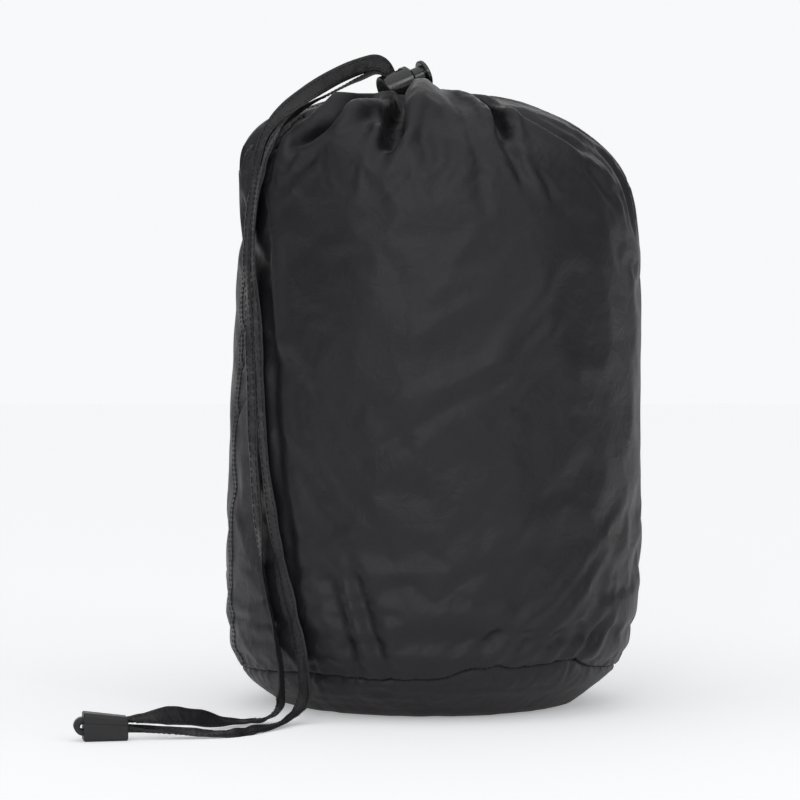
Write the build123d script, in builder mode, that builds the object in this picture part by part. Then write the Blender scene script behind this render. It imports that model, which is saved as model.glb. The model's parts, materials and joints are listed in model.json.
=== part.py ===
from build123d import *
from math import pi, radians, tan
import os

os.makedirs("parts", exist_ok=True)

# Drawstring stuff sack, packed full and standing on its base, with a spring cord lock at the
# gathered mouth and a clamshell cord end on the two tape tails.
# Millimetres, +Z up, origin at the centre of the base, front of the sack towards -Y.

# --- Sack: driving dimensions -------------------------------------------------------------
cloth = 1.0                      # one layer of cloth, thickened so that it has a volume
skin_gap = 0.2                   # between the cloth and what it wraps
contact_radius = 86.0            # flat circle that the sack stands on
base_rounding = 12.0             # from that circle up to the seam
seam_radius = 112.0              # where the base panel is sewn to the body panel
seam_height = 22.0
seam_gap = 0.7                   # between the two panels' cut edges
seam_setback = 0.2               # body panel's edge, outside the base panel's
foot_height = 55.0               # where the wall has filled out, and then up to the shoulder
belly_radius = 122.0
belly_height = 150.0
belly_swell = 0.3
upper_radius = 119.0
upper_height = 250.0
collar_radius = 114.0
collar_height = 316.0
shoulder_radius = 95.0
shoulder_height = 341.5
rim_radius = 54.0                # top of the gathers around the mouth
rim_height = 356.0
dish_radius = 38.0               # hollow that the gathers leave, where the lock lies
dish_height = 344.5
dish_drop = 1.5                  # from the hollow's edge to the casing
contents_recess = 3.0            # room around the casing, sideways
contents_recess_depth = 1.0      # and below it

# --- Base seam: binding over the raw edges, and the row of thread above it ------------------
binding_length = 9.0
binding_thickness = 1.2
binding_start = 1.5
binding_clearance = 0.1
base_row_radius = 113.9
base_row_height = 25.6

# --- Mouth: casing, loop of tape and its exit ---------------------------------------------
loop_radius = 11.0               # the drawstring drawn up tight
casing_height = 8.0
casing_width = 9.0
casing_base = 337.5
channel_radius = 2.5
panel_end_gap = 0.2
casing_rounding = 1.5
exit_centre = (-10.7, 0.4)       # where both tapes leave the casing
exit_length = 9.4
exit_width = 7.2
loop_gap_angle = 30.0            # between the exit's middle and each end of the loop
bartack_size = (6.0, 1.2, 0.6)
thread_radius = 0.3
casing_row_lift = 2.0            # row of thread that closes the hem, above its lower edge

# --- Drawstring tape: a flat strip 10 mm wide and 1 mm thick, here a tube of equal section --
tape_diameter = 3.6
lock_fold_radius = 4.5           # where a tape turns over the edge of the lock

# --- Side seam ------------------------------------------------------------------------------
side_seam_angle = 196.0
side_seam_width = 8.0
side_seam_gap = 0.02
side_seam_height = 0.8
side_seam_low = 30.0
side_seam_high = 345.0
side_seam_reach = 80.0           # outwards from the rim of the gathers
seam_row_inset = 1.6

# --- Cord lock ------------------------------------------------------------------------------
lock_centre = Vector(-18.8, -3.0, 364.4)       # where the barrel's axis meets the tape hole
lock_direction = Vector(0.856, 0.342, 0.387)   # along the barrel, towards the button
tape_direction = Vector(-0.359, -0.144, 0.922)  # along the tape hole, away from the mouth
barrel_radius = 9.0
barrel_back = -12.3
barrel_rim = 7.2                 # its open end, where the button comes out
barrel_floor = -10.8
bore_radius = 6.8
lip_bore_radius = 5.9
lip_length = 1.2
rim_chamfer = 1.8
back_rounding = 1.0
hole_length = 5.2                # tape hole, along the barrel
hole_width = 8.4                 # tape hole, across the barrel
stem_radius = 6.6
stem_back = -5.4
neck_radius = 5.7
flange_radius = 8.4
flange_thickness = 2.5
flange_rounding = 0.7
button_face = 17.0
slot_start = -1.9
slot_end = 7.1
running_gap = 0.2
spring_recess_radius = 3.5
spring_recess_depth = 2.6
spring_wire_radius = 0.35
spring_coil_radius = 2.65
spring_turns = 3.5
spring_end_gap = 0.1
key_width = 1.6
key_radius = 6.5
key_gap = 0.3
key_angle = 150.0                # around the barrel, from across it towards the tape's way out

# --- Cord end -------------------------------------------------------------------------------
end_mouth = Vector(-166.5, -178.0, 0.0)        # below the middle of the shell's tape end
end_turn = 190.0                 # its length runs to the left and a little forward
shell_length = 24.0
shell_width = 14.0
shell_width_mouth = 12.0
shell_height = 15.8
shell_height_mouth = 12.8
shell_wall = 1.5
shell_rounding = 2.2
shell_edge = 0.7
split_height_mouth = 8.3
split_height_back = 10.2
slot_width = 5.0
slot_bottom = 2.4
slot_top = 11.4
split_gap = 0.15
strap_length = 5.0
strap_width = 9.0
strap_thickness = 1.6
strap_bottom = 3.2
strap_top = 12.8
knot_size = (9.0, 8.0, 8.0)
knot_start = 5.0
knot_height = 7.0
knot_rounding = 2.4

# --- Routes of the two tape tails, from the casing through the lock to the cord end -----------
tail_a_route = [
    (-10.9, 2.5, 343.0), (-24.6, -3.1, 377.3), (-60.0, -13.5, 368.0), (-85.0, -27.5, 350.0),
    (-101.5, -41.5, 331.0), (-107.3, -48.5, 309.0), (-109.6, -49.5, 268.0), (-106.3, -60.5, 226.0),
    (-104.0, -66.8, 180.0), (-102.8, -70.2, 134.0), (-98.6, -76.6, 92.0), (-92.3, -84.0, 58.0),
    (-85.5, -91.5, 30.0), (-85.5, -98.0, 9.5), (-95.0, -108.0, 2.3), (-113.0, -122.0, 2.6),
    (-130.0, -147.0, 8.0), (-146.0, -167.0, 12.4), (-158.5, -175.8, 10.6), (-171.4, -178.9, 8.6),
]
tail_b_route = [
    (-9.3, -1.5, 343.0), (-23.0, -7.0, 377.3), (-57.0, -27.0, 358.5), (-77.0, -53.5, 346.5),
    (-93.0, -62.0, 330.0), (-100.3, -63.0, 307.0), (-104.6, -60.0, 267.0), (-101.3, -68.6, 222.0),
    (-99.0, -74.5, 174.0), (-94.8, -81.3, 133.0), (-88.3, -88.0, 94.0), (-80.2, -95.4, 60.0),
    (-73.4, -100.5, 33.0), (-71.6, -104.0, 11.0), (-82.5, -115.0, 2.3), (-92.0, -137.0, 2.3),
    (-106.0, -161.0, 2.3), (-121.5, -170.5, 2.3), (-148.0, -173.3, 3.6), (-171.4, -178.9, 4.4),
]


def corner_radii(points):
    """Radius at each inner point: the largest arc that takes 0.45 of the shorter run."""
    corners = [Vector(*point) for point in points]
    radii = []
    for before, corner, after in zip(corners, corners[1:], corners[2:]):
        run_in = corner - before
        run_out = after - corner
        half_turn = radians(run_in.get_angle(run_out) / 2)
        radii.append(0.45 * min(run_in.length, run_out.length) / tan(half_turn))
    return radii


def save(part, name):
    """Label a finished piece and write it to its own file."""
    part.label = name
    export_step(part, f"parts/{name}.step")


# --- Sack ---------------------------------------------------------------------------------
casing_inner = loop_radius - casing_width / 2
casing_outer = loop_radius + casing_width / 2
casing_top = casing_base + casing_height
channel_height = casing_base + casing_height / 2
panel_end = casing_outer + panel_end_gap

base_outline = [(0, 0), (contact_radius, 0), (seam_radius, seam_height)]
body_outline = [
    (seam_radius + seam_setback, seam_height + seam_gap),
    (belly_radius, foot_height),
    (belly_radius + belly_swell, belly_height),
    (upper_radius, upper_height),
    (collar_radius, collar_height),
    (shoulder_radius, shoulder_height),
    (rim_radius, rim_height),
    (dish_radius, dish_height),
    (panel_end, dish_height - dish_drop),
]


def binding_outline(grow):
    """Section of the seam binding, which lies along the inner side of the body panel."""
    foot = Vector(*body_outline[0])
    along = (Vector(*body_outline[1]) - foot).normalized()
    inward = along.rotate(Axis.Z, 90)
    near = cloth + skin_gap - grow
    far = cloth + skin_gap + binding_thickness + grow
    low = binding_start - grow
    high = binding_start + binding_length + grow
    corners = [(low, near), (high, near), (high, far), (low, far)]
    return [foot + along * length + inward * depth for length, depth in corners]


# Base panel: a round bottom whose edge lifts to the seam.
with BuildPart() as base_panel:
    with BuildSketch(Plane.XZ):
        with BuildLine():
            FilletPolyline(*base_outline, radius=base_rounding)
            offset(amount=cloth, side=Side.LEFT)
        make_face()
    revolve(axis=Axis.Z)
save(base_panel.part, "base_panel")

# Body panel: one wall of cloth from the base seam over the shoulder to the gathered mouth.
with BuildPart() as body_panel:
    with BuildSketch(Plane.XZ):
        with BuildLine():
            FilletPolyline(*body_outline, radius=corner_radii(body_outline))
            offset(amount=cloth, side=Side.LEFT)
        make_face()
    revolve(axis=Axis.Z)
save(body_panel.part, "body_panel")

# The sack's section, drawn past its axis so that an offset of it still reaches the axis.
with BuildSketch() as sack_section:
    with BuildLine():
        base_line = FilletPolyline(*base_outline, radius=base_rounding)
        wall_line = FilletPolyline(*body_outline, radius=corner_radii(body_outline))
        Polyline(base_line @ 1, wall_line @ 0)
        Polyline(wall_line @ 1, (-panel_end, dish_height), (-panel_end, 0), base_line @ 0)
    make_face()

# Packed contents: whatever fills the sack, pressed to the shape of the cloth.
with BuildPart() as packed_contents:
    with BuildSketch(Plane.XZ):
        offset(sack_section.sketch, amount=-(cloth + skin_gap), kind=Kind.INTERSECTION)
        split(bisect_by=Plane.YZ, keep=Keep.TOP)
    revolve(axis=Axis.Z)
    with BuildSketch(Plane.XY.offset(casing_base - contents_recess_depth)):
        Circle(casing_outer + contents_recess)
    extrude(amount=casing_height + 2 * contents_recess_depth, mode=Mode.SUBTRACT)
    with BuildSketch(Plane.XZ):
        with BuildLine():
            Polyline(*binding_outline(binding_clearance), close=True)
        make_face()
    revolve(axis=Axis.Z, mode=Mode.SUBTRACT)
save(packed_contents.part, "packed_contents")

# Binding over the raw edges of the base seam, inside the sack.
with BuildPart() as base_seam_binding:
    with BuildSketch(Plane.XZ):
        with BuildLine():
            Polyline(*binding_outline(0), close=True)
        make_face()
    revolve(axis=Axis.Z)
save(base_seam_binding.part, "base_seam_binding")

# Base seam stitching: one row of thread around the sack, just above the seam.
with BuildPart() as base_seam_stitching:
    with BuildSketch(Plane.XZ):
        with Locations((base_row_radius, base_row_height)):
            Circle(thread_radius)
    revolve(axis=Axis.Z)
save(base_seam_stitching.part, "base_seam_stitching")


def seam_band(low_offset, high_offset, angle, width_angle):
    """A band on the body panel, up the sack at one angle, between two heights off the cloth."""
    side = Vector(1, 0, 0).rotate(Axis.Z, angle - width_angle / 2)
    with BuildPart() as band:
        with BuildSketch(Plane(origin=(0, 0, 0), x_dir=side, z_dir=side.cross(Vector(0, 0, 1)))):
            offset(sack_section.sketch, amount=high_offset)
            offset(sack_section.sketch, amount=low_offset, mode=Mode.SUBTRACT)
            with Locations((rim_radius + side_seam_reach / 2, (side_seam_low + side_seam_high) / 2)):
                Rectangle(side_seam_reach, side_seam_high - side_seam_low, mode=Mode.INTERSECT)
        revolve(axis=Axis.Z, revolution_arc=width_angle)
    return band.part


# Side seam: the felled edge of the one body panel, from the base seam to the shoulder.
side_seam_span = side_seam_width / belly_radius * 180 / pi
side_seam = seam_band(side_seam_gap, side_seam_height, side_seam_angle, side_seam_span)
save(side_seam, "side_seam")

# Side seam stitching: a row of thread near each edge of the side seam.
row_top = side_seam_height + thread_radius
thread_span = 2 * thread_radius / belly_radius * 180 / pi
row_angle = (side_seam_width / 2 - seam_row_inset) / belly_radius * 180 / pi
with BuildPart() as side_seam_stitching:
    for row in (-row_angle, row_angle):
        add(seam_band(side_seam_height, row_top, side_seam_angle + row, thread_span))
save(side_seam_stitching.part, "side_seam_stitching")

# --- Mouth --------------------------------------------------------------------------------
# Drawcord casing: the gathered hem around the mouth, hollow for the tape, open at its exit.
with BuildPart() as drawcord_casing:
    with BuildSketch(Plane.XZ):
        with Locations((loop_radius, channel_height)):
            RectangleRounded(casing_width, casing_height, casing_rounding)
            Circle(channel_radius, mode=Mode.SUBTRACT)
    revolve(axis=Axis.Z)
    with BuildSketch(Plane.XY.offset(channel_height)):
        with Locations(exit_centre):
            Rectangle(exit_width, exit_length)
    extrude(amount=casing_height, mode=Mode.SUBTRACT)
save(drawcord_casing.part, "drawcord_casing")

# Drawstring loop: the tape inside the casing, drawn up to its smallest.
loop_start = Vector(1, 0, 0).rotate(Axis.Z, 180 + loop_gap_angle)
with BuildPart() as drawstring_loop:
    with BuildSketch(Plane((0, 0, 0), x_dir=loop_start, z_dir=loop_start.cross(Vector(0, 0, 1)))):
        with Locations((loop_radius, channel_height)):
            Circle(tape_diameter / 2)
    revolve(axis=Axis.Z, revolution_arc=360 - 2 * loop_gap_angle)
save(drawstring_loop.part, "drawstring_loop")

# Casing stitching: the row of thread that closes the hem, under the edge of the body panel.
with BuildPart() as casing_stitching:
    with BuildSketch(Plane.XZ):
        with Locations((casing_outer + 2 * thread_radius, casing_base + casing_row_lift)):
            Circle(thread_radius)
    revolve(axis=Axis.Z)
save(casing_stitching.part, "casing_stitching")

# Bar tacks: a short block of stitches at each end of the casing's exit.
with BuildPart() as casing_bartacks:
    with BuildSketch(Plane.XY.offset(casing_top)):
        with Locations(exit_centre):
            with GridLocations(0, exit_length + 2 * bartack_size[1], 1, 2):
                Rectangle(bartack_size[0], bartack_size[1])
    extrude(amount=bartack_size[2])
save(casing_bartacks.part, "casing_bartacks")

# --- Tape tails ---------------------------------------------------------------------------
for name, route in (("drawstring_tail_a", tail_a_route), ("drawstring_tail_b", tail_b_route)):
    radii = corner_radii(route)
    radii[0] = lock_fold_radius
    print(name, "radii", [round(radius, 1) for radius in radii])
    with BuildPart() as tail:
        with BuildLine():
            path = FilletPolyline(*route, radius=radii)
        with BuildSketch(Plane(origin=path @ 0, z_dir=path % 0)):
            Circle(tape_diameter / 2)
        sweep(path=path)
    tube_volume = path.length * pi * tape_diameter**2 / 4
    print(name, "length", round(path.length, 1), "volume", round(tail.part.volume / tube_volume, 4))
    save(tail.part, name)

# --- Cord lock ----------------------------------------------------------------------------
lock_frame = Plane(origin=lock_centre, x_dir=lock_direction, z_dir=tape_direction)
lock_axis = Axis(lock_centre, lock_frame.x_dir)


def across_barrel(distance):
    """Plane across the barrel: its Y runs along the tape hole."""
    middle = lock_centre + lock_frame.x_dir * distance
    return Plane(origin=middle, x_dir=lock_frame.y_dir, z_dir=lock_frame.x_dir)


# Lock housing: a barrel closed at the back, with a hole through it for both tapes.
lip_back = barrel_rim - lip_length
with BuildPart() as lock_housing:
    with BuildSketch(lock_frame):
        with BuildLine():
            Polyline(
                (barrel_back, 0),
                (barrel_back, barrel_radius),
                (barrel_rim - rim_chamfer, barrel_radius),
                (barrel_rim, barrel_radius - rim_chamfer),
                (barrel_rim, lip_bore_radius),
                (lip_back, lip_bore_radius),
                (lip_back, bore_radius),
                (barrel_floor, bore_radius),
                (barrel_floor, 0),
                close=True,
            )
        make_face()
    revolve(axis=lock_axis)
    fillet(lock_housing.edges().filter_by(GeomType.CIRCLE).sort_by(lock_axis)[0], back_rounding)
    with BuildSketch(lock_frame):
        Rectangle(hole_length, hole_width)
    extrude(amount=barrel_radius, both=True, mode=Mode.SUBTRACT)
    with BuildSketch(across_barrel(barrel_rim)):
        with PolarLocations(key_radius / 2, 1, start_angle=key_angle):
            Rectangle(key_radius + 2 * key_gap, key_width + 2 * key_gap)
    extrude(amount=-lip_length, mode=Mode.SUBTRACT)
save(lock_housing.part, "lock_housing")

# Lock plunger: the sprung button, with a slot that the tapes run through.
stem_front = lip_back - running_gap
flange_back = button_face - flange_thickness
with BuildPart() as lock_plunger:
    with BuildSketch(lock_frame):
        with BuildLine():
            Polyline(
                (stem_back, 0),
                (stem_back, stem_radius),
                (stem_front, stem_radius),
                (stem_front, neck_radius),
                (flange_back, neck_radius),
                (flange_back, flange_radius),
                (button_face, flange_radius),
                (button_face, 0),
                close=True,
            )
        make_face()
    revolve(axis=lock_axis)
    fillet(lock_plunger.edges().filter_by(GeomType.CIRCLE).sort_by(lock_axis)[-2:], flange_rounding)
    with BuildSketch(across_barrel(stem_front)):
        with PolarLocations(key_radius / 2, 1, start_angle=key_angle):
            Rectangle(key_radius, key_width)
    extrude(amount=flange_back - stem_front)
    with BuildSketch(lock_frame):
        with Locations(((slot_start + slot_end) / 2, 0)):
            Rectangle(slot_end - slot_start, hole_width)
    extrude(amount=barrel_radius, both=True, mode=Mode.SUBTRACT)
    with BuildSketch(across_barrel(stem_back)):
        Circle(spring_recess_radius)
    extrude(amount=spring_recess_depth, mode=Mode.SUBTRACT)
save(lock_plunger.part, "lock_plunger")

# Lock spring: pushes the button out, between the barrel's floor and the recess in the stem.
spring_start = barrel_floor + spring_wire_radius + spring_end_gap
spring_height = stem_back + spring_recess_depth - spring_wire_radius - spring_end_gap - spring_start
with BuildPart() as lock_spring:
    with BuildLine():
        coil = Helix(
            pitch=spring_height / spring_turns,
            height=spring_height,
            radius=spring_coil_radius,
            center=lock_centre + lock_frame.x_dir * spring_start,
            direction=lock_frame.x_dir,
        )
    with BuildSketch(Plane(origin=coil @ 0, z_dir=coil % 0)):
        Circle(spring_wire_radius)
    sweep(path=coil, is_frenet=True)
save(lock_spring.part, "lock_spring")

# --- Cord end -----------------------------------------------------------------------------
end_direction = Vector(1, 0, 0).rotate(Axis.Z, end_turn)
end_side = Vector(0, 0, 1).cross(end_direction)


def across_end(distance, height):
    """Upright plane across the cord end, at one distance along it and one height."""
    middle = end_mouth + end_direction * distance + Vector(0, 0, height)
    return Plane(origin=middle, x_dir=end_side, z_dir=end_direction)


def split_plane(lift):
    """Where the two shells part, lifted by part of the gap between them."""
    rise = (split_height_back - split_height_mouth) / shell_length
    along = (end_direction + Vector(0, 0, rise)).normalized()
    origin = end_mouth + Vector(0, 0, split_height_mouth + lift)
    return Plane(origin=origin, x_dir=along, z_dir=along.cross(end_side))


def shell_section(distance, inset, rounding):
    """Rounded section of the shell at one distance along it, set in by a wall."""
    share = distance / shell_length
    width = shell_width_mouth + (shell_width - shell_width_mouth) * share
    height = shell_height_mouth + (shell_height - shell_height_mouth) * share
    with BuildSketch(across_end(distance, height / 2)) as section:
        RectangleRounded(width - 2 * inset, height - 2 * inset, rounding)
    return section.sketch


with BuildPart() as end_blank:
    loft([shell_section(0, 0, shell_rounding), shell_section(shell_length, 0, shell_rounding)])
    end_rims = end_blank.edges().group_by(Axis(end_mouth, end_direction))
    chamfer(end_rims[0] + end_rims[-1], shell_edge)
    loft(
        [
            shell_section(shell_wall, shell_wall, shell_rounding / 2),
            shell_section(shell_length - shell_wall, shell_wall, shell_rounding / 2),
        ],
        mode=Mode.SUBTRACT,
    )
    with BuildSketch(across_end(0, (slot_bottom + slot_top) / 2)):
        Rectangle(slot_width, slot_top - slot_bottom)
    extrude(amount=2 * shell_wall, mode=Mode.SUBTRACT)

# Lower shell of the cord end, which lies on the floor.
with BuildPart() as cord_end_lower_shell:
    add(end_blank.part)
    split(bisect_by=split_plane(-split_gap / 2), keep=Keep.BOTTOM)
save(cord_end_lower_shell.part, "cord_end_lower_shell")

# Upper shell of the cord end, which opens as a lid.
with BuildPart() as cord_end_upper_shell:
    add(end_blank.part)
    split(bisect_by=split_plane(split_gap / 2), keep=Keep.TOP)
save(cord_end_upper_shell.part, "cord_end_upper_shell")

# Hinge strap: the thin moulded band that joins the two shells at the far end and bends.
with BuildPart() as cord_end_hinge_strap:
    with BuildSketch(Plane(origin=end_mouth, x_dir=end_direction, z_dir=-end_side)):
        with BuildLine():
            FilletPolyline(
                (shell_length, strap_top),
                (shell_length + strap_length, strap_top),
                (shell_length + strap_length, strap_bottom),
                (shell_length, strap_bottom),
                radius=strap_thickness * 2,
            )
            offset(amount=strap_thickness, side=Side.RIGHT)
        make_face()
    extrude(amount=strap_width / 2, both=True)
save(cord_end_hinge_strap.part, "cord_end_hinge_strap")

# Knot that keeps both tape tails in the cord end.
with BuildPart() as tape_knot:
    with BuildSketch(across_end(knot_start, knot_height)):
        Rectangle(knot_size[1], knot_size[2])
    extrude(amount=knot_size[0])
    fillet(tape_knot.edges(), knot_rounding)
save(tape_knot.part, "tape_knot")
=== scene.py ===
import json
import math

import bpy
import numpy as np
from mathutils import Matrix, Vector


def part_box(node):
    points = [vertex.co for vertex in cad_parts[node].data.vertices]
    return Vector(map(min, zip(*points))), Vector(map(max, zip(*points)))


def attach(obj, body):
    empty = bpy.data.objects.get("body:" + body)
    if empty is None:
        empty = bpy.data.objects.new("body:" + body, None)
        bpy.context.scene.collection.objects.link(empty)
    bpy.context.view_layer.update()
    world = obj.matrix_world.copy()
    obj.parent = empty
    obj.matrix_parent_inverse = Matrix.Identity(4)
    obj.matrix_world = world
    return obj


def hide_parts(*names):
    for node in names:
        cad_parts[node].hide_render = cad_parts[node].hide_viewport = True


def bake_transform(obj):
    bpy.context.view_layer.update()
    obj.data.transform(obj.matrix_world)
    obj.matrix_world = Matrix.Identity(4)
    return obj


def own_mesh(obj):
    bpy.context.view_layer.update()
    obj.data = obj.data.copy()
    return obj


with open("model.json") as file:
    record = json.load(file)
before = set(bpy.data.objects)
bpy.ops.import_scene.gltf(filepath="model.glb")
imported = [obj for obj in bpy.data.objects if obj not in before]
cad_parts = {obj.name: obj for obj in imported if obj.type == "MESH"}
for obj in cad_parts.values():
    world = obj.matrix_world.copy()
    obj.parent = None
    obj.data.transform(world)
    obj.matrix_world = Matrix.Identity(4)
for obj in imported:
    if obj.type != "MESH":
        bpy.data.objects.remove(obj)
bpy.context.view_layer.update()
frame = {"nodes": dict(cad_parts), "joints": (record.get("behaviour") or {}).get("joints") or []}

MM = 0.001
random = np.random.default_rng(11)
nodes = frame["nodes"]

# --- Places and sizes read from the frame ---------------------------------------------------
body_low, body_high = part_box("body_panel")
casing_low, casing_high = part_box("drawcord_casing")
BELLY = (body_high.x - body_low.x) / 2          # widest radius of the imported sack
MOUTH_RADIUS = (casing_high.x - casing_low.x) / 2
joints = {joint["name"]: joint for joint in frame["joints"]}

# --- Tape -----------------------------------------------------------------------------------
TAPE_WIDTH = 10.5 * MM
TAPE_THICKNESS = 1.1 * MM
# A tape is narrower where it is folded into the lock and gathered into the cord end: how far that
# reaches from its end, over what length it widens again, and its width there as a share.
LOCK_GRIP, LOCK_FADE, LOCK_SQUEEZE = 30 * MM, 12 * MM, 0.72
END_GRIP, END_FADE, END_SQUEEZE = 8 * MM, 20 * MM, 0.46
# Control points of each tail in millimetres, from the hem's exit to the cord end, as in part.py.
tail_a_route = [
    (-9.8, 0.6, 343.3), (-23.8, -5.0, 380.0), (-50.0, -12.0, 372.5), (-77.0, -28.0, 355.5),
    (-97.8, -43.5, 335.0), (-102.8, -52.5, 309.0), (-108.4, -52.0, 268.0), (-106.3, -60.5, 226.0),
    (-104.0, -66.8, 180.0), (-102.8, -70.2, 134.0), (-98.6, -76.6, 92.0), (-92.3, -84.0, 58.0),
    (-85.5, -91.5, 30.0), (-85.5, -98.0, 9.5), (-95.0, -108.0, 2.3), (-113.0, -122.0, 2.6),
    (-130.0, -147.0, 8.0), (-146.0, -167.0, 12.4), (-158.5, -175.8, 10.6), (-171.4, -178.9, 8.6),
]
tail_b_route = [
    (-11.1, 0.1, 342.7), (-25.0, -5.8, 377.0), (-52.0, -22.0, 362.0), (-77.0, -50.0, 346.0),
    (-93.0, -61.0, 330.0), (-100.3, -63.0, 307.0), (-104.6, -60.0, 267.0), (-101.3, -68.6, 222.0),
    (-99.0, -74.5, 174.0), (-94.8, -81.3, 133.0), (-88.3, -88.0, 94.0), (-80.2, -95.4, 60.0),
    (-73.4, -100.5, 33.0), (-71.6, -104.0, 11.0), (-82.5, -115.0, 2.3), (-92.0, -137.0, 2.3),
    (-106.0, -161.0, 2.3), (-121.5, -170.5, 2.3), (-148.0, -173.3, 3.6), (-171.4, -178.9, 4.4),
]
ACROSS_LOCK = (-0.37, 0.93, 0.0)
# Which way the tape's width points, at some of its route points.
tail_a_turns = [
    (0, ACROSS_LOCK), (1, (0.45, 0.4, 0.75)), (2, (-0.4, -0.05, 0.9)), (3, (-0.6, 0.1, 0.8)),
    (4, (-0.45, 0.75, 0.2)), (6, (-0.45, 0.9, 0.0)), (9, (-0.55, 0.83, 0.0)), (10, (-0.2, 0.97, 0.0)),
    (12, (0.25, 0.97, 0.1)), (13, (0.5, 0.85, 0.0)), (15, (-0.6, 0.75, 0.2)), (16, (-0.2, 0.3, 0.93)),
    (17, (0.0, 0.1, 1.0)), (18, (-0.1, 0.8, 0.6)), (19, (-0.17, 0.98, 0.0)),
]
tail_b_turns = [
    (0, ACROSS_LOCK), (1, (-0.35, 0.93, 0.1)), (2, (-0.4, 0.88, 0.1)), (3, (-0.4, 0.85, -0.2)),
    (4, (-0.3, 0.9, 0.0)), (6, (-0.45, 0.88, 0.0)), (9, (-0.5, 0.85, 0.0)), (11, (-0.5, 0.86, 0.0)),
    (13, (-0.75, 0.6, 0.0)), (14, (-0.8, 0.55, -0.1)), (16, (-0.6, 0.7, 0.25)), (17, (-0.2, 0.9, 0.33)),
    (18, (-0.1, 0.9, 0.33)), (19, (-0.17, 0.98, 0.0)),
]


# --- Camera, light and floor ------------------------------------------------------------------
EYE = Vector((-19.5, -2000.0, 234.4)) * MM     # a long lens from just above the sack's middle
AIM = Vector((-19.5, 0.0, 178.4)) * MM
BACKDROP = 0.945        # white that the camera sees behind the sack
FAINT_LIGHT = 0.205     # light from every side that no lobe reaches
FLOOR_GLOW = 0.345      # paper sweep lit from below, as it is seen
FLOOR_BOUNCE = 0.1      # and as it lights the sack
FLOOR_HALF = 6.0
# Soft lights all round: direction, where it fades out and where it is full (as cosines), strength.
LIGHT_LOBES = (
    ((0.0, 0.95, 0.25), 0.79, 0.98, 0.72),      # bright sweep behind
    ((0.0, -0.2, 0.98), 0.4, 0.95, 0.66),       # big box overhead
    ((-0.42, -0.85, 0.33), 0.72, 0.97, 0.42),   # softbox at the left front
    ((0.62, -0.76, 0.2), 0.82, 0.98, 0.16),     # fill at the right front
)


def make_camera():
    camera = bpy.data.objects.new("camera", bpy.data.cameras.new("camera"))
    camera.data.sensor_width = 36
    camera.data.lens = 152.5
    camera.data.clip_end = 50
    camera.location = EYE
    camera.rotation_mode = "QUATERNION"
    camera.rotation_quaternion = (AIM - EYE).to_track_quat("-Z", "Y")
    bpy.context.scene.collection.objects.link(camera)
    bpy.context.scene.camera = camera


def make_light(name, place, size, power, aim):
    data = bpy.data.lights.new(name, "AREA")
    data.shape = "RECTANGLE"
    data.size, data.size_y = size
    data.energy = power
    light = bpy.data.objects.new(name, data)
    light.location = place
    light.rotation_mode = "QUATERNION"
    light.rotation_quaternion = (Vector(aim) - Vector(place)).to_track_quat("-Z", "Y")
    bpy.context.scene.collection.objects.link(light)


def make_surroundings():
    world = bpy.data.worlds.new("studio")
    world.use_nodes = True
    tree = world.node_tree
    background = tree.nodes["Background"]
    direction = add_node(tree, "ShaderNodeTexCoord").outputs["Generated"]
    light = FAINT_LIGHT
    for toward, edge, core, amount in LIGHT_LOBES:
        facing = add_node(tree, "ShaderNodeVectorMath", N0=direction, N1=Vector(toward).normalized())
        facing.operation = "DOT_PRODUCT"
        lobe = ramp(tree, facing.outputs["Value"], edge, core, 0.0, amount)
        lobe.node.interpolation_type = "SMOOTHSTEP"
        light = add_node(tree, "ShaderNodeMath", N0=lobe, N1=light).outputs[0]
    seen = add_node(tree, "ShaderNodeLightPath").outputs["Is Camera Ray"]
    strength = add_node(tree, "ShaderNodeMix", N0=seen)
    tree.links.new(light, strength.inputs[2])
    strength.inputs[3].default_value = BACKDROP
    background.inputs["Color"].default_value = (0.995, 1.0, 1.01, 1)
    tree.links.new(strength.outputs[0], background.inputs["Strength"])
    bpy.context.scene.world = world
    bpy.context.scene.view_settings.view_transform = "Standard"
    make_light("light_front", (-0.35, -2.3, 1.0), (0.5, 0.3), 5, (0, 0, 0.25))
    make_light("light_side", (0.83, -1.17, 0.75), (0.12, 1.2), 1.4, (0, 0, 0.35))
    mesh = bpy.data.meshes.new("floor")
    corners = [(x * FLOOR_HALF, y * FLOOR_HALF, 0) for x, y in ((-1, -1), (1, -1), (1, 1), (-1, 1))]
    mesh.from_pydata(corners, [], [(0, 1, 2, 3)])
    floor = bpy.data.objects.new("floor", mesh)
    floor.data.materials.append(floor_material())
    bpy.context.scene.collection.objects.link(floor)


# --- Materials ----------------------------------------------------------------------------------
def new_material(name):
    material = bpy.data.materials.new(name)
    material.use_nodes = True
    tree = material.node_tree
    return material, tree, tree.nodes["Principled BSDF"]


def add_node(tree, kind, **inputs):
    """A node with some of its inputs set or linked, by name or by number for N0, N1 and so on."""
    node = tree.nodes.new(kind)
    for key, value in inputs.items():
        name = key.replace("_", " ")
        socket = node.inputs[int(key[1:])] if key[0] == "N" and key[1:].isdigit() else node.inputs[name]
        if isinstance(value, bpy.types.NodeSocket):
            tree.links.new(value, socket)
        else:
            socket.default_value = value
    return node


def ramp(tree, factor, low, high, from_value, to_value):
    """Maps factor from low..high to from_value..to_value."""
    node = add_node(tree, "ShaderNodeMapRange", Value=factor)
    node.inputs["From Min"].default_value = low
    node.inputs["From Max"].default_value = high
    node.inputs["To Min"].default_value = from_value
    node.inputs["To Max"].default_value = to_value
    return node.outputs["Result"]


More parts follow.
